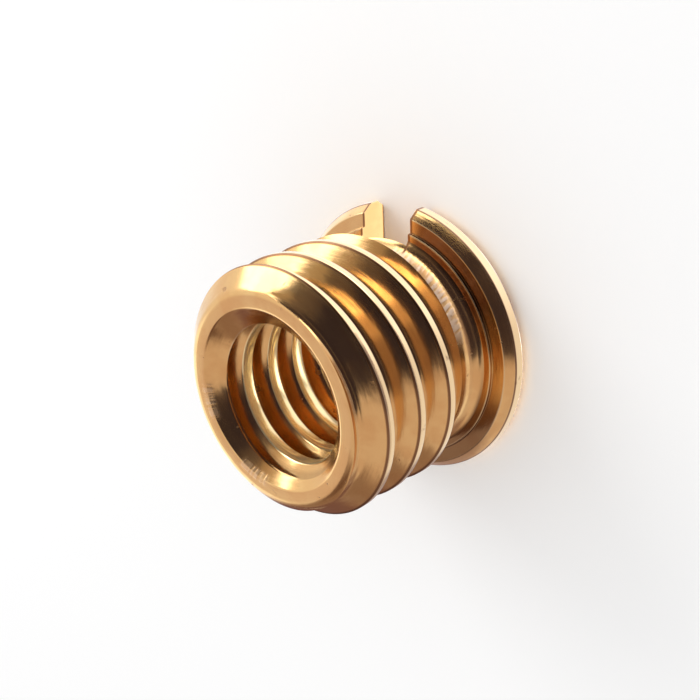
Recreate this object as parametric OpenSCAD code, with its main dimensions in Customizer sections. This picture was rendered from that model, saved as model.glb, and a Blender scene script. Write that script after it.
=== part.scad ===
// Tripod thread adapter: a flanged bush, turned from one brass bar.
// A 3/8-16 UNC thread is cut outside and a 1/4-20 UNC thread inside it.
// It stands on the outer face of its flange, at z = 0, with its tip up.
// The origin is on the axis, in that face. The driver slot runs along X.

/* [Flange] */
// Diameter of the flange, mm
flange_d = 10.5; // [10.2:0.1:14]
// Thickness of the flange, mm
flange_h = 1.1; // [0.9:0.05:2]
// Width of the bevel round each edge of the rim, mm
rim_bevel_w = 0.28; // [0.1:0.02:0.4]
// Height of the bevel round each edge of the rim, mm
rim_bevel_h = 0.38; // [0.1:0.02:0.4]

/* [Driver slot] */
// Width of the slot sawn across the flange, mm
slot_w = 2.2; // [1:0.1:2.6]
// How far the slot goes past the flange, into the foot of the neck, mm
slot_extra = 0.1; // [0.05:0.05:0.6]
// How far the slot runs beside the axis, mm
slot_offset = 0.35; // [0:0.05:0.6]

/* [Body] */
// Overall length, from the flange's outer face to the tip, mm
length = 7.85; // [7.5:0.05:16]
// Diameter of the neck, where the thread runs out, mm
neck_d = 7.6; // [7.2:0.05:7.7]
// Length of the neck with its flare, from the flange to the thread, mm
neck_h = 1.7; // [1.5:0.05:2.6]
// Diameter of the low collar at the foot of the neck, mm
collar_d = 8.9; // [8.6:0.05:9.2]
// Height of the collar above the flange, mm
collar_h = 0.14; // [0.06:0.02:0.3]
// Diameter that the tip is bevelled down to, mm
tip_d = 7.8; // [7.7:0.05:8.8]
// Height of the bevel round the tip, mm
tip_bevel_h = 0.7; // [0.4:0.05:1.2]
// Radius of the rounding between the bevel and the lip of the tip, mm
tip_round = 0.55; // [0.1:0.05:0.6]

/* [Outer thread] */
// Diameter over the crests, mm
outer_d = 9.4; // [9.26:0.01:9.49]
// Pitch, mm
outer_pitch = 1.5875; // [1.5875]
// Diameter at the roots, mm
outer_root_d = 7.7; // [7.6:0.05:7.8]
// Turn of the thread about the axis, degrees
outer_turn = 342; // [0:1:359]

/* [Inner thread] */
// Diameter at the crests, which is the tapped bore, mm
inner_d = 5.26; // [5.2:0.01:5.3]
// Pitch, mm
inner_pitch = 1.27; // [1.27]
// Diameter at the roots, mm
inner_root_d = 6.38; // [6.35:0.01:6.45]
// Turn of the thread about the axis, degrees
inner_turn = 267; // [0:1:359]
// Diameter of the countersink at the tip, mm
mouth_d = 6.7; // [6.5:0.05:7]
// Depth of the countersink at the tip, mm
mouth_h = 0.55; // [0.3:0.05:0.8]
// Diameter of the countersink at the flange, mm
back_mouth_d = 6.7; // [6.5:0.05:7]
// Depth of the countersink at the flange, mm
back_mouth_h = 0.55; // [0.3:0.05:0.8]

/* [Hidden] */
$fn = 96;

thread_slope = tan(30);            // half of the 60 degree thread angle
outer_steps = 36;                  // straight lengths in one turn of the outer groove
inner_steps = 30;                  // and of the inner one
clear = 0.4;                       // how far a cutter stands past what it cuts

rim_r = flange_d / 2;
neck_r = neck_d / 2;
outer_r = outer_d / 2;
tip_r = tip_d / 2;
bore_r = inner_d / 2;
collar_r = collar_d / 2;

collar_top = flange_h + collar_h;
collar_step = 0.25;                // width of the collar's flat top
flare_foot_r = collar_r - collar_step;
shoulder_h = (outer_r - neck_r) * thread_slope;
neck_top = flange_h + neck_h;      // where the shoulder meets the crests
neck_land = 0.14;                  // height of the straight neck, above its flare
flare_top = neck_top - shoulder_h - neck_land;
slot_h = collar_top + slot_extra;

// Rounding of the tip: an arc that runs on from the bevel and ends level with the lip.
// The bevel and the lip would meet at tip_r, and tip_back is how far the arc starts from there.
bevel_angle = atan2(tip_bevel_h, outer_r - tip_r);
tip_back = tip_round * tan(bevel_angle / 2);
tip_round_steps = 6;
tip_arc = [
    for (i = [0:tip_round_steps])
        let (a = bevel_angle * (1 - i / tip_round_steps))
            [tip_r - tip_back + tip_round * sin(a), length - tip_round * (1 - cos(a))]
];

// Width of a groove at its open side, which leaves the flat crests of the thread.
// The basic thread has a sharp V of one pitch, cut off by an eighth of it at a flat.
outer_basic_r = 9.525 / 2;
outer_crest_w = outer_pitch / 8 + 2 * (outer_basic_r - outer_r) * thread_slope;
outer_groove_w = outer_pitch - outer_crest_w;
outer_root_r = outer_root_d / 2;
outer_root_w = outer_groove_w - 2 * (outer_r - outer_root_r) * thread_slope;

inner_basic_r = 6.35 / 2;
inner_root_r = inner_root_d / 2;
inner_groove_w = inner_pitch / 8 + 2 * (inner_basic_r - bore_r) * thread_slope;
inner_root_w = inner_groove_w - 2 * (inner_root_r - bore_r) * thread_slope;

// Heights where the centre line of each groove starts and ends. The outer groove starts
// in the air of the neck, and all the other ends are past the metal.
outer_from = flare_top;
outer_to = length + outer_groove_w;
inner_from = -inner_groove_w;
inner_to = length + inner_groove_w;

// Point of a right-hand helix at angle a
function on_helix(a, r, z) = [r * cos(a), r * sin(a), z];

// Solid swept by a trapezium along a helix. It is root_w wide at root_r and grows at the
// thread's angle until it is past the open side, at open_r. The inner thread's root is
// farther out than its open side, so its trapezium is turned over.
module helical_groove(root_r, root_w, open_r, pitch, turn, from, to, steps) {
    side = open_r > root_r ? 1 : -1;
    open_w = root_w + 2 * abs(open_r - root_r) * thread_slope;
    trapezium = [
        [root_r, -side * root_w / 2],
        [open_r, -side * open_w / 2],
        [open_r, side * open_w / 2],
        [root_r, side * root_w / 2]
    ];
    corners = len(trapezium);
    rings = ceil((to - from) / pitch * steps);
    points = [
        for (i = [0:rings])
            let (z = from + (to - from) * i / rings, a = turn + 360 * z / pitch)
                for (corner = trapezium) on_helix(a, corner[0], z + corner[1])
    ];
    walls = [
        for (i = [0:rings - 1], k = [0:corners - 1])
            let (here = i * corners + k, next = i * corners + (k + 1) % corners)
                each [[here, next, here + corners], [next, next + corners, here + corners]]
    ];
    first_end = [for (k = [corners - 1:-1:0]) k];
    last_end = [for (k = [0:corners - 1]) rings * corners + k];
    polyhedron(points = points, faces = concat([first_end], walls, [last_end]), convexity = 10);
}

// The bar as it is turned, before the threads and the slot are cut
module turned_blank() {
    rotate_extrude()
        polygon(concat([
            [0, 0],
            [rim_r - rim_bevel_w, 0],
            [rim_r, rim_bevel_h],
            [rim_r, flange_h - rim_bevel_h],
            [rim_r - rim_bevel_w, flange_h],
            [collar_r, flange_h],
            [collar_r, collar_top],
            [flare_foot_r, collar_top],
            [neck_r, flare_top],
            [neck_r, flare_top + neck_land],
            [outer_r, neck_top],
            [outer_r, length - tip_bevel_h]
        ], tip_arc, [
            [0, length]
        ]));
}

// Countersink at z = 0 that opens downwards, and goes on past the metal
module countersink(mouth_r, h) {
    past_r = mouth_r + clear * (mouth_r - bore_r) / h;
    translate([0, 0, -clear])
        cylinder(r1 = past_r, r2 = bore_r, h = h + clear);
}

// Drilled hole with a countersink at each end
module bore() {
    translate([0, 0, -clear])
        cylinder(r = bore_r, h = length + 2 * clear);
    translate([0, 0, length])
        mirror([0, 0, 1])
            countersink(mouth_d / 2, mouth_h);
    countersink(back_mouth_d / 2, back_mouth_h);
}

// Slot for a coin or a broad screwdriver, right across the flange
module driver_slot() {
    translate([-rim_r - clear, slot_offset - slot_w / 2, -clear])
        cube([2 * (rim_r + clear), slot_w, slot_h + clear]);
}

module outer_thread_groove() {
    helical_groove(outer_root_r, outer_root_w, outer_r + clear,
        outer_pitch, outer_turn, outer_from, outer_to, outer_steps);
}

module inner_thread_groove() {
    helical_groove(inner_root_r, inner_root_w, bore_r - clear,
        inner_pitch, inner_turn, inner_from, inner_to, inner_steps);
}

module adapter() {
    color("goldenrod")
        difference() {
            turned_blank();
            bore();
            driver_slot();
            outer_thread_groove();
            inner_thread_groove();
        }
}

adapter();
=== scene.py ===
# %% [markdown]
# # A tripod thread adapter in brass
#
# The part is a small flanged bush. A large thread is cut round its outside and a smaller one
# through its middle, and a slot is sawn across its flange for a coin or a screwdriver. The real
# piece is turned from one bar, so here too it is one piece. It is made the way a lathe makes it:
# first a smooth blank, then each groove taken out by a tool that travels along a helix.

# %% Load the frame
import math
import bpy
from mathutils import Matrix, Vector


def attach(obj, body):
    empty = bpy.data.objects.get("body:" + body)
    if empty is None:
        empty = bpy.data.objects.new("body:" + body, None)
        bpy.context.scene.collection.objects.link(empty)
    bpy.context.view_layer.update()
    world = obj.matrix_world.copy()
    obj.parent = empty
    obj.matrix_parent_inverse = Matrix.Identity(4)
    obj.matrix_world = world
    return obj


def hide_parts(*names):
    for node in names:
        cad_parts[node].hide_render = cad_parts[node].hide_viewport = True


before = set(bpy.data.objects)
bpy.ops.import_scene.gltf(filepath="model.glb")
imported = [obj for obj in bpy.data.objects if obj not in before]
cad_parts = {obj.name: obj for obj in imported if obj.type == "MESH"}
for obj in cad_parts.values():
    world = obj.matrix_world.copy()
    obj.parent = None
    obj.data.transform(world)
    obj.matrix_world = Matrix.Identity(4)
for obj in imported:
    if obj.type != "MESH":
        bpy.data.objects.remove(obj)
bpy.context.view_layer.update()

# %% [markdown]
# ## Sizes
#
# They are the sizes of the part's own source, in millimetres. Everything is worked out in
# millimetres first, and the last step of the shape turns the result into metres.

# %% Sizes of the bush
MM = 0.001
RIM_R, FLANGE_H = 5.25, 1.1
RIM_BEVEL_W, RIM_BEVEL_H = 0.28, 0.38
COLLAR_R, COLLAR_TOP, FLARE_FOOT_R = 4.45, 1.24, 4.2
NECK_R, NECK_TOP, NECK_LAND = 3.8, 2.8, 0.14
LENGTH, TIP_R, TIP_BEVEL_H = 7.85, 3.9, 0.7
TIP_ROUND, LIP_ROUND = 0.55, 0.2        # outer and inner edge of the tip's flat lip
OUTER_R, OUTER_ROOT_R, OUTER_PITCH, OUTER_TURN = 4.7, 3.85, 1.5875, 342
BORE_R, INNER_ROOT_R, INNER_PITCH, INNER_TURN = 2.63, 3.19, 1.27, 267
MOUTH_R, MOUTH_H = 3.35, 0.55
SLOT_W, SLOT_H, SLOT_Y = 2.2, 1.34, 0.35

SLOPE = math.tan(math.radians(30))      # half of the thread's 60 degrees
FLARE_TOP = NECK_TOP - (OUTER_R - NECK_R) * SLOPE - NECK_LAND
FLARE_START = 1.9                       # height where the neck starts to run out
OUTER_GROOVE_W = OUTER_PITCH * 7 / 8 - 2 * (9.525 / 2 - OUTER_R) * SLOPE
INNER_GROOVE_W = INNER_PITCH / 8 + 2 * (6.35 / 2 - BORE_R) * SLOPE
STEPS = 256                             # straight lengths round the axis
print(f"grooves are {OUTER_GROOVE_W:.3f} and {INNER_GROOVE_W:.3f} mm wide at the crests")

# %% [markdown]
# ## Sections
#
# A turned form is a flat outline swung round an axis. Each corner of the outline gets a small
# radius, as the tool and the tumbling barrel leave it, because a perfectly sharp metal edge
# catches no light. An outline is kept as a mesh of points, radius along X and height along Z.

# %% Outlines with rounded corners
LARGE_ROUND = 0.2                       # a rounding over this radius gets finer steps
FINE_STEP, COARSE_STEP = 5, 11          # degrees


def rounded(corners):
    """Turns (r, z, radius) corners into a closed run of points."""
    points = []
    for i, (r, z, radius) in enumerate(corners):
        here = Vector((r, z))
        if not radius:
            points.append(here)
            continue
        before, after = corners[i - 1], corners[(i + 1) % len(corners)]
        a, b = Vector(before[:2]) - here, Vector(after[:2]) - here
        half = a.angle(b) / 2
        room = [side.length * (0.49 if other[2] else 0.98)      # two roundings share a side
                for side, other in ((a, before), (b, after))]
        back = min(radius / math.tan(half), *room)
        centre = here + (a.normalized() + b.normalized()).normalized() * back / math.cos(half)
        start = here + a.normalized() * back - centre
        sweep = start.angle_signed(here + b.normalized() * back - centre)
        step = math.radians(FINE_STEP if radius > LARGE_ROUND else COARSE_STEP)
        steps = math.ceil(abs(sweep) / step)
        points += [centre + Matrix.Rotation(-sweep * k / steps, 2) @ start
                   for k in range(steps + 1)]
    return points


def section(name, points):
    """Keeps an outline as a mesh object, for the nodes to read. It isn't a piece of the bush."""
    area = sum(p[0] * q[1] - q[0] * p[1] for p, q in zip(points, points[1:] + points[:1]))
    points = points if area < 0 else points[::-1]       # one way round: faces point outwards
    mesh = bpy.data.meshes.new(name)
    mesh.from_pydata([(p[0], 0, p[1]) for p in points], [], [])
    made = bpy.data.objects.new(name, mesh)
    print(f"{name}: {len(points)} points")
    return made


# %% The lathe's outline of the blank
# The neck is straight at the top and runs out to the collar in a hollow curve. The third number
# of a corner is the radius of its rounding.
FLARE_POINTS = 8
bend = 2 * math.atan((FLARE_FOOT_R - NECK_R) / (FLARE_START - COLLAR_TOP))
flare_r = (FLARE_START - COLLAR_TOP) / math.sin(bend)
flare = [(NECK_R + flare_r * (1 - math.cos(bend * k / FLARE_POINTS)),
          FLARE_START - flare_r * math.sin(bend * k / FLARE_POINTS), 0)
         for k in range(FLARE_POINTS - 1, -1, -1)]
blank_section = section("blank_section", rounded([
    (MOUTH_R, 0, 0.05), (RIM_R - RIM_BEVEL_W, 0, 0.08), (RIM_R, RIM_BEVEL_H, 0.10),
    (RIM_R, FLANGE_H - RIM_BEVEL_H, 0.10), (RIM_R - RIM_BEVEL_W, FLANGE_H, 0.08),
    (COLLAR_R, FLANGE_H, 0.03), (COLLAR_R, COLLAR_TOP, 0.04), (FLARE_FOOT_R, COLLAR_TOP, 0.05),
    *flare, (NECK_R, FLARE_TOP + NECK_LAND, 0.05), (OUTER_R, NECK_TOP, 0.05),
    (OUTER_R, LENGTH - TIP_BEVEL_H, 0.05), (TIP_R, LENGTH, TIP_ROUND),
    (MOUTH_R, LENGTH, LIP_ROUND), (BORE_R, LENGTH - MOUTH_H, 0.03), (BORE_R, MOUTH_H, 0.03)]))

# %% The two thread tools
BOTTOM_POINTS = 8                       # points in each half of a groove's bottom
CLEAR = 0.25                            # how far a tool stands out of the metal
LEAN = math.tan(math.radians(6))        # slope of a tool's flare beyond the crests


def groove_section(name, open_r, root_r, width, hollow, crest_round, flare):
    """The form of a thread tool. A groove's bottom is a hollow curve that meets the straight
    sides at the height hollow above the root. Beyond the crests the form flares out a little, to
    round their edges."""
    side = 1 if open_r > root_r else -1
    deep = abs(open_r - root_r)
    half_open, half_root = width / 2, width / 2 - deep * SLOPE
    bottom = []
    for t in (k / BOTTOM_POINTS for k in range(BOTTOM_POINTS + 1)):
        up, along = (1 - t) ** 2 * hollow, 1 - t ** 2
        bottom.append((deep - up, half_root * along + up * SLOPE, 0))
    shape = [*((depth, -across, 0) for depth, across, _ in bottom), *bottom[-2::-1],
             (0, half_open, crest_round), (-flare * LEAN, half_open + flare, 0),
             (-CLEAR, half_open + flare, 0), (-CLEAR, -half_open - flare, 0),
             (-flare * LEAN, -half_open - flare, 0), (0, -half_open, crest_round)]
    return section(name, [(open_r - side * depth, z) for depth, z in rounded(shape)])


outer_tool = groove_section("outer_tool", OUTER_R, OUTER_ROOT_R, OUTER_GROOVE_W,
                            hollow=0.22, crest_round=0.07, flare=0.11)
inner_tool = groove_section("inner_tool", BORE_R, INNER_ROOT_R, INNER_GROOVE_W,
                            hollow=0.12, crest_round=0.16, flare=0.2)

# %% [markdown]
# ## One class for sums on sockets
#
# Node trees are long when every sum is a node that has to be placed and linked. This small class
# wraps a socket, so that plain Python sums add the Math nodes. It serves both the shape and the
# metal.

# %% Sockets that can be added and multiplied
class Wire:
    """A socket that takes part in sums."""

    def __init__(self, bench, socket):
        self.bench, self.socket = bench, socket

    def _sum(self, operation, *values):
        return self.bench.node("ShaderNodeMath", {"operation": operation}, *values)

    def __add__(self, other): return self._sum("ADD", self, other)
    def __radd__(self, other): return self._sum("ADD", other, self)
    def __sub__(self, other): return self._sum("SUBTRACT", self, other)
    def __rsub__(self, other): return self._sum("SUBTRACT", other, self)
    def __mul__(self, other): return self._sum("MULTIPLY", self, other)
    def __rmul__(self, other): return self._sum("MULTIPLY", other, self)
    def __truediv__(self, other): return self._sum("DIVIDE", self, other)
    def __rtruediv__(self, other): return self._sum("DIVIDE", other, self)
    def __pow__(self, other): return self._sum("POWER", self, other)
    def __mod__(self, other): return self._sum("FLOORED_MODULO", self, other)
    def sin(self): return self._sum("SINE", self)
    def cos(self): return self._sum("COSINE", self)
    def floor(self): return self._sum("FLOOR", self)
    def fract(self): return self._sum("FRACT", self)
    def abs(self): return self._sum("ABSOLUTE", self)
    def least(self, other): return self._sum("MINIMUM", self, other)
    def most(self, other): return self._sum("MAXIMUM", self, other)
    def over(self, other): return self._sum("GREATER_THAN", self, other)
    def bearing(self, x): return self._sum("ARCTAN2", self, x)
    def rise(self): return self._sum("ARCSINE", self)

    def split(self):
        """The three parts of a vector."""
        parts = self.bench.node("ShaderNodeSeparateXYZ", {}, self).socket.node.outputs
        return [Wire(self.bench, part) for part in parts]

    def ramp(self, none, full):
        """Goes smoothly from 0 to 1 while the value goes from none to full."""
        return self.bench.node("ShaderNodeMapRange", {"interpolation_type": "SMOOTHSTEP"},
                               self, none, full)


class Bench:
    """A node tree with one method that adds any node."""

    def __init__(self, tree):
        self.tree = tree

    def node(self, kind, settings=None, *values, out=0, **named):
        made = self.tree.nodes.new(kind)
        for name, value in (settings or {}).items():
            setattr(made, name, value)
        for key, value in list(enumerate(values)) + list(named.items()):
            if isinstance(key, str):
                key = key.replace("_", " ")
                socket = next(s for s in made.inputs if s.name == key and s.enabled)
            else:
                socket = made.inputs[key]
            if isinstance(value, Wire):
                self.tree.links.new(value.socket, socket)
            elif value is not None:
                socket.default_value = value
        return Wire(self, made.outputs[out])

    def finish(self, shader):
        """Makes this shader the material's surface."""
        end = self.tree.nodes.new("ShaderNodeOutputMaterial")
        self.tree.links.new(shader.socket, end.inputs[0])

# %% [markdown]
# ## A section swung or screwed round the axis
#
# A lathe and a thread tool do the same thing: they carry a flat outline round an axis. If the
# outline stays at its height the result is a ring, and if it climbs by one pitch a turn the
# result is a thread. So one node group serves the blank and both grooves. It bends a flat grid:
# one way along the grid is the outline, the other is the way round. A tool's path has two ends,
# which are drawn to a point so that the form is closed.

# %% The node group that turns a section
SAME_POINT = 0.0001                     # mm: points this close are one


def sockets(tree, wanted):
    for name, kind in wanted:
        tree.interface.new_socket(name, in_out="INPUT", socket_type="NodeSocket" + kind)


turning = bpy.data.node_groups.new("turned_section", "GeometryNodeTree")
sockets(turning, [("Section", "Geometry"), ("Steps", "Int"), ("Steps in a turn", "Int"),
                  ("Start angle", "Float"), ("Start height", "Float"), ("Climb in a turn", "Float"),
                  ("Middle radius", "Float"), ("Pointed ends", "Bool")])
turning.interface.new_socket("Mesh", in_out="OUTPUT", socket_type="NodeSocketGeometry")

bench = Bench(turning)
given = turning.nodes.new("NodeGroupInput")
outline, steps, in_turn, angle0, height0, climb, middle, pointed = [
    Wire(bench, s) for s in list(given.outputs)[:8]]
corners = bench.node("GeometryNodeAttributeDomainSize", {}, outline)
grid = bench.node("GeometryNodeMeshGrid", {}, 1.0, 1.0, corners + 1, steps + 1)
index = bench.node("GeometryNodeInputIndex")
row = (index / (steps + 1)).floor()
column = index - row * (steps + 1)
spot = bench.node("GeometryNodeSampleIndex", {"data_type": "FLOAT_VECTOR"},
                  outline, bench.node("GeometryNodeInputPosition"), row % corners)
radius, _, height = spot.split()
inside = 1 - pointed * (1 - column.least(steps - column).least(1))
radius = middle + (radius - middle) * inside
angle = angle0 + column / in_turn * math.tau
lift = height0 + column / in_turn * climb + height * inside
moved = bench.node("GeometryNodeSetPosition", {}, grid,
                   Position=bench.node("ShaderNodeCombineXYZ", {}, radius * angle.cos(),
                                       radius * angle.sin(), lift))
closed = bench.node("GeometryNodeMergeByDistance", {}, moved, Distance=SAME_POINT)
turning.links.new(closed.socket, turning.nodes.new("NodeGroupOutput").inputs[0])
print("turned_section has", len(turning.nodes), "nodes")

# %% [markdown]
# ## The saw
#
# The driver slot is cut straight across the flange by a flat saw. Its tool is a long bar whose
# sides spread a little at the flange's face, which takes the burr off the slot's edges.

# %% The saw's bar
BAR_REACH = 7                           # half of the bar's length
half, break_edge, past = SLOT_W / 2, 0.05, 0.4
bar = [(-half, SLOT_H), (-half, break_edge), (-half - break_edge - past, -past),
       (half + break_edge + past, -past), (half, break_edge), (half, SLOT_H)]
bar_mesh = bpy.data.meshes.new("slot_tool")
bar_mesh.from_pydata([(x, SLOT_Y + y, z) for x in (-BAR_REACH, BAR_REACH) for y, z in bar], [],
                     [tuple(range(5, -1, -1)), tuple(range(6, 12))]
                     + [(k, (k + 1) % 6, (k + 1) % 6 + 6, k + 6) for k in range(6)])
slot_tool = bpy.data.objects.new("slot_tool", bar_mesh)
print(f"the saw is {SLOT_W} mm wide and cuts {SLOT_H} mm deep")

# %% [markdown]
# ## Cutting the bush
#
# The main tree turns the blank, screws the two thread tools round the axis and takes them and
# the saw out of it. The tools step round the axis at the same angles as the blank, so that the
# crests come out as clean bands. Edges sharper than 35 degrees stay crisp and all the rest is
# shaded as one smooth surface.

# %% The tree that cuts the bush
SLIVER = 0.0015                         # mm: edges shorter than this go after the cuts
CRISP_OVER = 35                         # degrees
cutting = bpy.data.node_groups.new("cut_bush", "GeometryNodeTree")
sockets(cutting, [("Blank", "Geometry"), ("Outer tool", "Object"), ("Inner tool", "Object"),
                  ("Slot tool", "Object"), ("Steps in a turn", "Int"), ("Outer pitch", "Float"),
                  ("Outer first step", "Int"), ("Outer steps", "Int"), ("Outer turn", "Float"),
                  ("Inner pitch", "Float"), ("Inner first step", "Int"), ("Inner steps", "Int"),
                  ("Inner turn", "Float"), ("Metal", "Material")])
cutting.interface.new_socket("Mesh", in_out="OUTPUT", socket_type="NodeSocketGeometry")
bench = Bench(cutting)
given = cutting.nodes.new("NodeGroupInput")
want = {s.name: Wire(bench, s) for s in given.outputs if s.name}


def solid_of(name):
    return bench.node("GeometryNodeObjectInfo", {}, want[name], out=4)


def screwed(tool, thread):
    """Carries a tool round the axis from its first step. A thread's turn is its angle at z = 0."""
    first, pitch = want[thread + " first step"], want[thread + " pitch"]
    turned = first / want["Steps in a turn"]
    middle = (OUTER_R + OUTER_ROOT_R) / 2 if thread == "Outer" else (BORE_R + INNER_ROOT_R) / 2
    return bench.node("GeometryNodeGroup", {"node_tree": turning}, tool, want[thread + " steps"],
                      want["Steps in a turn"], turned * math.tau,
                      (turned - want[thread + " turn"] / 360) * pitch, pitch, middle, True)


blank = bench.node("GeometryNodeGroup", {"node_tree": turning}, want["Blank"],
                   want["Steps in a turn"], want["Steps in a turn"], 0.0, 0.0, 0.0, 0.0, False)
tools = [screwed(solid_of("Outer tool"), "Outer"), screwed(solid_of("Inner tool"), "Inner"),
         solid_of("Slot tool")]
cut = blank
for tool in tools:
    cut = bench.node("GeometryNodeMeshBoolean", {"operation": "DIFFERENCE", "solver": "MANIFOLD"},
                     cut, tool)
tidied = bench.node("GeometryNodeMergeByDistance", {}, cut, Distance=SLIVER)
smooth = bench.node("GeometryNodeSetShadeSmooth", {"domain": "FACE"}, tidied, True, True)
sharp = bench.node("GeometryNodeInputMeshEdgeAngle").over(math.radians(CRISP_OVER))
crisp = bench.node("GeometryNodeSetShadeSmooth", {"domain": "EDGE"}, smooth, sharp, False)
metres = bench.node("GeometryNodeTransform", {}, crisp, Scale=(MM, MM, MM))
real = bench.node("GeometryNodeRealizeInstances", {}, metres)
clad = bench.node("GeometryNodeSetMaterial", {}, real, Material=want["Metal"])
cutting.links.new(clad.socket, cutting.nodes.new("NodeGroupOutput").inputs[0])
print("cut_bush has", len(cutting.nodes), "nodes")

# %% [markdown]
# ## The brass
#
# The real bush is bright brass straight from the lathe. Its colour isn't even: the metal is
# mottled a little towards copper, the thread's edges and the rim are worn pale and painted paler
# still as a painted highlight, the inner crests carry a painted highlight and the chatter ribs a
# painted sheen, thin dark lines along the sharp edges are painted dark reflections, painted shade
# darkens the corner under the neck and the inner thread's grooves, and a few specks are stained.
# Every surface has fine rings from the tool, and long shallow waves that make the reflections
# wander.
#
# All of it could be painted, but it follows rules, so it is worked out from the place on the
# part. Four numbers are enough: the distance from the axis, the height, the bearing, and how far
# a point is from the middle of the nearest thread groove.

# %% The place on the part, in millimetres
brass = bpy.data.materials.new("turned_brass")
brass.use_nodes = True
brass.node_tree.nodes.clear()
bench = Bench(brass.node_tree)
place = bench.node("ShaderNodeTexCoord", out=3)
x, y, z = bench.node("ShaderNodeVectorMath", {"operation": "SCALE"}, place, Scale=1 / MM).split()
radius = (x * x + y * y) ** 0.5
turns = y.bearing(x) / math.tau


def from_groove(pitch, turn):
    """Height above the middle of the nearest groove, in millimetres."""
    return ((z / pitch - turns + turn / 360 + 0.5).fract() - 0.5) * pitch


def edge(r, height, width):
    """A soft line along the edge that runs round the part at this radius and height."""
    return (((radius - r) ** 2 + (z - height) ** 2) ** 0.5).ramp(width, width * 0.35)


def facing(none, full):
    """Fades in from the bearing none to the bearing full, in degrees."""
    return turns.ramp(none / 360, full / 360)


outer_way = from_groove(OUTER_PITCH, OUTER_TURN)
on_thread = (z.ramp(NECK_TOP - 0.5, NECK_TOP - 0.4)
             * z.ramp(LENGTH - TIP_BEVEL_H + 0.05, LENGTH - TIP_BEVEL_H))
outside = radius.ramp(MOUTH_R + 0.10, MOUTH_R + 0.15)

# %% [markdown]
# Noise gives what has no rule. With the same number of grains each way it makes blotches. With
# few grains along the turning and many across it, it makes the rings that a tool leaves: the
# noise gets the radius as its fourth number, so that the rings go right round the part and are
# fine on a flat face as well as on a wall.

# %% Blotches, rings and waves
def blotches(grains, seed, detail=2.0):
    """Noise with about this many grains in a millimetre."""
    return bench.node("ShaderNodeTexNoise", {"noise_dimensions": "4D"},
                      bench.node("ShaderNodeCombineXYZ", {}, x, y, z),
                      W=seed, Scale=grains, Detail=detail)


def rings(along, across, seed):
    """Noise with few grains in a millimetre along the turning, and more across it."""
    spot = bench.node("ShaderNodeCombineXYZ", {}, x * along + seed, y * along, z * across)
    return bench.node("ShaderNodeTexNoise", {"noise_dimensions": "4D"}, spot, W=radius * across,
                      Scale=1.0, Detail=2.0)


mottle = blotches(1.1, 3.0, 3.0).ramp(0.38, 0.62)
patches = blotches(0.45, 8.0).ramp(0.42, 0.66)
specks = blotches(2.3, 12.0, 3.0).ramp(0.67, 0.74)
fine_rings = rings(0.7, 13.0, 2.0)
broad_rings = rings(0.5, 4.5, 5.0)
waves = rings(0.9, 1.6, 9.0)

# %% [markdown]
# The tool chattered on one side of the neck and left a run of small uneven ribs there, about two
# degrees apart. They fade out at both ends. Two fainter runs cross the edge of the countersink.

# %% Chatter ribs
RIBS = 170                              # ribs in a whole turn, if they went all the way
neck_ribs = (facing(-80, -60) * facing(-2, -10)
             * (z + turns * 1.2).ramp(1.38, 1.62) * (z - turns * 1.5).ramp(2.75, 2.45) * outside)
mouth_ribs = ((facing(93, 98) * facing(122, 115) + facing(148, 152) * facing(175, 169))
              * radius.ramp(MOUTH_R - 0.27, MOUTH_R - 0.13)
              * radius.ramp(MOUTH_R + 0.25, MOUTH_R + 0.10) * z.ramp(LENGTH - 0.30, LENGTH - 0.24))
# Further down, the ribs are also painted paler: a painted sheen where the rough metal would scatter
# light.
ribbed = neck_ribs.most(mouth_ribs * 0.35)
rib_wave = bench.node("ShaderNodeTexNoise", {"noise_dimensions": "3D"},
                      bench.node("ShaderNodeCombineXYZ", {}, turns * RIBS + z * 1.5, z * 1.3, 7.0),
                      Scale=1.0, Detail=3.0).ramp(0.40, 0.60)

# %% [markdown]
# The next masks say where the surface differs. Each one is 0 outside its own place and fades in
# at its edge. Most are products of ramps on the radius, the height and the bearing.

# %% Worn edges, partly a painted highlight, and a painted highlight on the inner crests
# The pale edges are partly wear and partly a painted highlight: crests, rim and edges are painted
# lighter where they catch the light.
wear_and_highlight = (radius.ramp(OUTER_R - 0.05, OUTER_R - 0.02) * on_thread).most(
    radius.ramp(RIM_R - 0.06, RIM_R - 0.01))
wear_and_highlight = wear_and_highlight.most(radius.ramp(BORE_R + 0.06, BORE_R + 0.02) * 0.8)
for r, height, width in ((COLLAR_R, COLLAR_TOP, 0.07), (RIM_R - RIM_BEVEL_W, FLANGE_H, 0.05)):
    wear_and_highlight = wear_and_highlight.most(edge(r, height, width) * 0.5)
# The inner crests by the mouth are painted pale and less metallic: a painted highlight.
inner_crest_highlight = (radius.ramp(BORE_R + 0.05, BORE_R + 0.02)
        * z.ramp(LENGTH - MOUTH_H + 0.02, LENGTH - MOUTH_H - 0.10))

# %% Dark lines along sharp edges, painted as dark reflections
# The thin dark lines at the crest edges, the tip bevel, the rim and the slot's borders are painted
# dark reflections.
crest_edge = (outer_way.abs() - (OUTER_GROOVE_W / 2 - 0.015)).abs()
dark_edge_reflection = crest_edge.ramp(0.045, 0.015) * on_thread * radius.ramp(OUTER_R - 0.20, OUTER_R - 0.10)
for r, height, width in ((OUTER_R - 0.02, LENGTH - TIP_BEVEL_H + 0.03, 0.07),
                         (RIM_R, FLANGE_H - RIM_BEVEL_H + 0.03, 0.06)):
    dark_edge_reflection = dark_edge_reflection.most(edge(r, height, width))
beside_slot = (y - SLOT_Y).abs() - SLOT_W / 2
dark_edge_reflection = dark_edge_reflection.most(beside_slot.ramp(0.0, 0.01) * beside_slot.ramp(0.13, 0.07)
                   * z.ramp(1.7, 1.5) * radius.ramp(NECK_R - 0.20, NECK_R))
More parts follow.
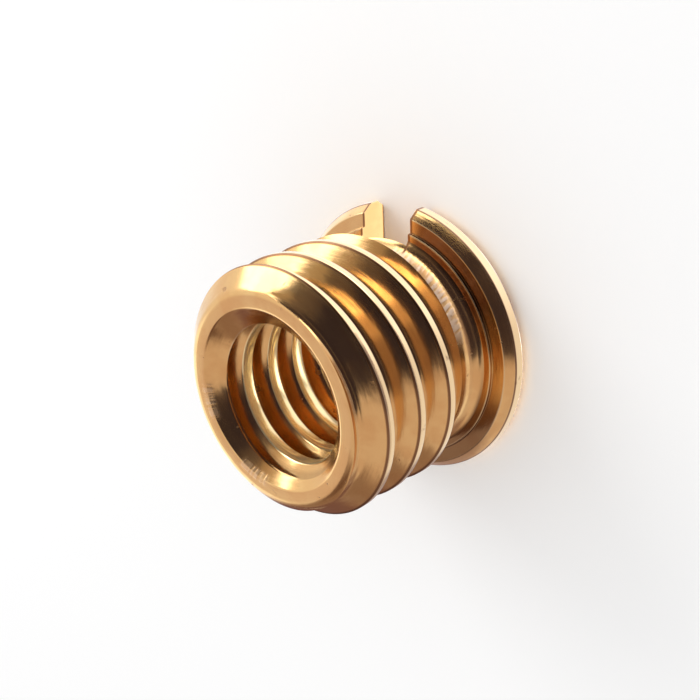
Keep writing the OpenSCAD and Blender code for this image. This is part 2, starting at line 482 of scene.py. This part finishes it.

# %% The thread's grooves, and painted shade in the inner grooves and in the corner under the neck
deep = radius.ramp(OUTER_ROOT_R + 0.45, OUTER_ROOT_R) * on_thread * outside
# The thread's flanks that face the flange are painted paler.
under = outer_way.ramp(0.05, 0.2) * on_thread * radius.ramp(3.8, 3.9)   # faces the flange
# The inner thread's grooves are darkened: painted shade inside the bore.
inner_groove_shade = (radius.ramp(BORE_R + 0.15, BORE_R + 0.35)
              * radius.ramp(INNER_ROOT_R + 0.05, INNER_ROOT_R + 0.02)
              * z.ramp(LENGTH - MOUTH_H + 0.05, LENGTH - MOUTH_H - 0.05))
# The seat in the corner under the neck is darkened, more on some bearings: painted shade.
seat_edge = RIM_R - RIM_BEVEL_W
seat_shade = (z.ramp(FLANGE_H - 0.06, FLANGE_H - 0.02) * z.ramp(1.5, 1.25)
        * radius.ramp(FLARE_FOOT_R - 0.15, FLARE_FOOT_R)
        * radius.ramp(seat_edge + 0.02, seat_edge - 0.02) * facing(-7, -16)
        * (facing(-76, -58) * 0.75 + facing(-92, -112) * 0.60 + 0.25))

# %% The colour, the roughness and the relief
def mix(factor, below, above):
    """Lays one colour over another, as thickly as the factor says."""
    return bench.node("ShaderNodeMix", {"data_type": "RGBA"}, Factor=factor, A=below, B=above,
                      out=2)


BRIGHT, COPPERY, FLANGE_FLANK_TONE = (0.87, 0.555, 0.24, 1), (0.78, 0.43, 0.17, 1), (0.90, 0.63, 0.33, 1)
WEAR_AND_HIGHLIGHT, PALE, INNER_CREST_HIGHLIGHT = (0.92, 0.69, 0.40, 1), (0.95, 0.72, 0.52, 1), (0.98, 0.80, 0.45, 1)
# This dark tone serves the real stained specks, and the painted shade of the inner grooves and of
# the dark edge lines.
STAIN_AND_SHADE, SEAT_SHADE = (0.17, 0.06, 0.03, 1), (0.11, 0.040, 0.021, 1)
colour = mix(mottle * 0.50 + patches * 0.30, BRIGHT, COPPERY)
# In this list the ribs' paler colour is a painted sheen, the worn and inner-crest colours are
# partly and wholly a painted highlight, and the seat, inner-groove and dark-edge colours are
# painted shade.
for mask, tone in ((under * 0.7, FLANGE_FLANK_TONE), (deep * 0.25, COPPERY), (seat_shade * 0.9, SEAT_SHADE),
                   (inner_groove_shade * 0.3, STAIN_AND_SHADE), (ribbed * (0.05 + rib_wave * 0.95), PALE),
                   (wear_and_highlight * 0.85, WEAR_AND_HIGHLIGHT), (inner_crest_highlight, INNER_CREST_HIGHLIGHT), (dark_edge_reflection * 0.85, STAIN_AND_SHADE),
                   (specks * 0.5, STAIN_AND_SHADE)):
    colour = mix(mask, colour, tone)
roughness = (0.12 + mottle * 0.05 + fine_rings * 0.06 + specks * 0.2 + ribbed * 0.30
             + dark_edge_reflection * 0.15)
metallic = 1.0 - inner_crest_highlight * 0.25 - ribbed * rib_wave * 0.1
relief = (fine_rings * 0.0016 + broad_rings * 0.004 + waves * 0.012      # mm
          + rib_wave * ribbed * 0.013 - specks * 0.002)
bump = bench.node("ShaderNodeBump", {}, Strength=1.0, Distance=MM, Height=relief)
shader = bench.node("ShaderNodeBsdfPrincipled", {}, Base_Color=colour, Metallic=metallic,
                    Roughness=roughness, Normal=bump)
bench.finish(shader)
print("turned_brass has", len(brass.node_tree.nodes), "nodes")

# %% [markdown]
# ## Making the bush
#
# The tree is put on an object that holds the blank's outline. Its inputs are set by their
# identifiers before Blender works it out for the first time. The result is kept as a plain mesh,
# and the object that held the tree goes.

# %% Run the tree and keep the result
def first_step(turn, pitch, z):
    """The step round the axis at which a thread reaches height z."""
    return round((turn / 360 + z / pitch) * STEPS)


sizes = {"Outer tool": outer_tool, "Inner tool": inner_tool, "Slot tool": slot_tool,
         "Steps in a turn": STEPS, "Outer pitch": OUTER_PITCH, "Outer turn": float(OUTER_TURN),
         "Outer first step": first_step(OUTER_TURN, OUTER_PITCH, FLARE_TOP),
         "Outer steps": math.ceil((LENGTH + OUTER_GROOVE_W - FLARE_TOP) / OUTER_PITCH * STEPS),
         "Inner pitch": INNER_PITCH, "Inner turn": float(INNER_TURN),
         "Inner first step": first_step(INNER_TURN, INNER_PITCH, -INNER_GROOVE_W),
         "Inner steps": math.ceil((LENGTH + 2 * INNER_GROOVE_W) / INNER_PITCH * STEPS),
         "Metal": brass}
bpy.context.scene.collection.objects.link(blank_section)
work = blank_section.modifiers.new("cut_bush", "NODES")
work.node_group = cutting
for item in cutting.interface.items_tree:
    if item.in_out == "INPUT" and item.name in sizes:
        work[item.identifier] = sizes[item.name]
bpy.context.view_layer.update()
ready = blank_section.evaluated_get(bpy.context.evaluated_depsgraph_get())
bush = bpy.data.objects.new("brass_bush", bpy.data.meshes.new_from_object(ready))
bpy.context.scene.collection.objects.link(bush)
for tool in (blank_section, outer_tool, inner_tool, slot_tool):
    bpy.data.objects.remove(tool)
bush.data.calc_loop_triangles()
print("the bush has", len(bush.data.loop_triangles), "triangles")

# %% The bush stands for the frame's solid
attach(bush, "root")
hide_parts("adapter")

# %% [markdown]
# ## Floor, light and camera
#
# The part stands on white paper under a white sky, with one softbox at its side. Bright metal
# shows little of its own colour. It shows what stands round it, so what stands round it is
# chosen with care: a dome of grey, white and dark panels, a low strip of card on the paper, a
# light table close round the part and a small disc under it, seen through the bore. They are
# only there for reflections: they throw no shadow and don't light the paper.

# %% Floor
FLOOR_SIZE = 1.2
bpy.ops.mesh.primitive_plane_add(size=FLOOR_SIZE, location=(0, 0, 0))
floor = bpy.context.object
floor.name = "floor"
paper = bpy.data.materials.new("white_paper")
paper.use_nodes = True
for name, value in (("Base Color", (0.97, 0.97, 0.97, 1)), ("Roughness", 0.9),
                    ("Specular IOR Level", 0.0)):
    paper.node_tree.nodes["Principled BSDF"].inputs[name].default_value = value
floor.data.materials.append(paper)

# %% Sky and softbox
SKY = 0.92                              # a strength of 1 is white
MIDDLE_H = 0.004                        # height of the part's middle, in metres
world = bpy.data.worlds.new("studio")
bpy.context.scene.world = world
world.use_nodes = True
world.node_tree.nodes["Background"].inputs["Color"].default_value = (1, 1, 1, 1)
world.node_tree.nodes["Background"].inputs["Strength"].default_value = SKY
world.cycles_visibility.glossy = False  # the metal mirrors the cards, not the sky


def softbox(name, bearing, rise, distance, size, power):
    """A lamp that looks at the middle of the part, from a bearing and a rise in degrees."""
    light = bpy.data.lights.new(name, "AREA")
    light.shape, light.size, light.size_y, light.energy = "RECTANGLE", size[0], size[1], power
    lamp = bpy.data.objects.new(name, light)
    bpy.context.scene.collection.objects.link(lamp)
    turn, high = math.radians(bearing), math.radians(rise)
    lamp.location = [distance * c for c in (math.cos(high) * math.cos(turn),
                                            math.cos(high) * math.sin(turn), math.sin(high))]
    to_part = Vector((0, 0, MIDDLE_H)) - lamp.location
    lamp.rotation_euler = to_part.to_track_quat("-Z", "Y").to_euler()
    print(f"{name} is {distance} m away")


softbox("side_box", 51, 24, distance=0.15, size=(0.088, 0.09), power=0.066)

# %% A material of panels
def panelled(name, wall, panels):
    """A glowing card. Each panel has a middle bearing, its half width, its lowest and highest
    point as seen from the origin, a soft edge, all in degrees, and its light. A later panel
    covers an earlier one."""
    cloth = bpy.data.materials.new(name)
    cloth.use_nodes = True
    cloth.node_tree.nodes.clear()
    bench = Bench(cloth.node_tree)
    way = bench.node("ShaderNodeVectorMath", {"operation": "NORMALIZE"},
                     bench.node("ShaderNodeTexCoord", out=3))
    x, y, z = way.split()
    bearing, rise = y.bearing(x) / math.tau, z.rise() * (180 / math.pi)
    light = (*wall, 1)
    for middle, half, low, high, soft, tone in panels:
        off = ((bearing - middle / 360 + 0.5).fract() - 0.5).abs() * 360
        mask = (off.ramp(half + soft, half - soft) * rise.ramp(low - soft, low + soft)
                * rise.ramp(high + soft, high - soft))
        light = bench.node("ShaderNodeMix", {"data_type": "RGBA"}, Factor=mask, A=light,
                           B=(*tone, 1), out=2)
    bench.finish(bench.node("ShaderNodeEmission", {}, light, 1.0))
    print(f"{name}: {len(panels)} panels")
    return cloth


# %% The panels of the dome and of the strip
BELOW, TOP = -90, 110                   # a panel that goes past the foot or over the top
BACK_LIGHT, BACK_SHADE, SIDE_SHADE = (1.5, 1.55, 1.6), (0.20, 0.12, 0.13), (0.33, 0.25, 0.25)
BLACK, BLACK_ABOVE = (0.045, 0.034, 0.048), (0.035, 0.028, 0.042)
studio = panelled("studio_panels", (0.70, 0.62, 0.60), (
    (82, 58, BELOW, TOP, 4, (0.95, 0.95, 0.95)),            # white wall
    (125, 28, 33, 70, 8, (0.74, 0.66, 0.68)),               # its duller upper part
    (121, 17, BELOW, 26, 5, BACK_LIGHT),
    (163, 21, BELOW, 14, 5, BACK_SHADE),
    (163, 19, 30, 50, 3, (0.16, 0.10, 0.085)),
    (163, 19, 14, 30, 3, (0.30, 0.22, 0.20)),
    (-171, 9, BELOW, 14, 6, SIDE_SHADE),
    (-36, 70, BELOW, 42, 3, BLACK),                         # black cloth at the camera's side
    (24, 10, 26, 42, 4, (0.13, 0.11, 0.10)),                # a grey patch in it
    (-37, 84, 42, TOP, 4, BLACK_ABOVE),
    (28, 19, 44, 68, 4, (0.11, 0.09, 0.09)),
    (44, 12, 43, 54, 2, (0.42, 0.34, 0.24)),
    (-39, 89, 68, TOP, 4, BLACK_ABOVE)))
horizon = panelled("strip_panels", (0.66, 0.60, 0.60), (
    (82, 58, BELOW, 90, 4, (1.0, 1.0, 1.0)),
    (121, 17, BELOW, 90, 5, BACK_LIGHT),
    (163, 21, BELOW, 90, 5, BACK_SHADE),
    (-171, 9, BELOW, 90, 6, SIDE_SHADE),
    (-75, 27, BELOW, 90, 6, (0.33, 0.28, 0.32)),
    (-38, 12, BELOW, 90, 5, (0.85, 0.80, 0.85)),
    (0, 26, BELOW, 90, 7, (3.6, 3.6, 3.4))))                # the strip's brightest part

# %% The panels of the light table and of the disc
glass = panelled("light_table", (0.92, 0.90, 0.93), (
    (30, 92, BELOW, 90, 15, (1.4, 1.4, 1.55)),
    (178, 30, BELOW, 90, 8, (0.42, 0.35, 0.37))))
disc = panelled("under_the_bore", (0.45, 0.40, 0.40), (
    (10, 60, BELOW, 90, 12, (1.5, 1.5, 1.5)),
    (-118, 42, BELOW, 90, 12, (3.0, 2.9, 2.7))))


# %% The dome, the strip, the light table and the disc
COLUMNS = 72                            # faces round a card
DOME_R = 0.5
DISC_R, TABLE_R, STRIP_R = 0.0052, 0.014, 0.040


def card(name, profile, cloth):
    """Turns (radius, height) points, in metres, into a card that only reflections see."""
    points = [(r * math.cos(math.tau * k / COLUMNS), r * math.sin(math.tau * k / COLUMNS), h)
              for r, h in profile for k in range(COLUMNS)]
    quads = [(i * COLUMNS + k, i * COLUMNS + (k + 1) % COLUMNS,
              (i + 1) * COLUMNS + (k + 1) % COLUMNS, (i + 1) * COLUMNS + k)
             for i in range(len(profile) - 1) for k in range(COLUMNS)]
    mesh = bpy.data.meshes.new(name)
    mesh.from_pydata(points, [], quads)
    mesh.materials.append(cloth)
    made = bpy.data.objects.new(name, mesh)
    bpy.context.scene.collection.objects.link(made)
    made.visible_camera = made.visible_diffuse = made.visible_shadow = False
    print(f"{name}: {len(quads)} faces")


card("dome", [(DOME_R * math.cos(math.radians(a)), DOME_R * math.sin(math.radians(a)))
              for a in (*range(0, 90, 5), 89.9)], studio)
card("strip", [(TABLE_R, 0.0003), (STRIP_R, 0.0006), (STRIP_R, 0.0066)], horizon)
card("table", [(DISC_R, 0.0001), (TABLE_R, 0.0003)], glass)
card("shade", [(0.00001, 0.0001), (DISC_R, 0.0001)], disc)

# %% Camera
camera = bpy.data.objects.new("camera", bpy.data.cameras.new("camera"))
bpy.context.scene.collection.objects.link(camera)
bpy.context.scene.camera = camera
right = Vector((-0.03857473, -0.73460591, -0.6773966))
up = Vector((0.91631823, 0.24440034, -0.31722135))
camera.matrix_world = Matrix.Translation(Vector((18.43076, -28.47877, 33.57359)) * MM) @ \
    Matrix((right, up, right.cross(up))).transposed().to_4x4()
camera.data.sensor_width = 36
camera.data.lens = 63.80
camera.data.clip_start = 0.001
bpy.context.scene.view_settings.view_transform = "Standard"
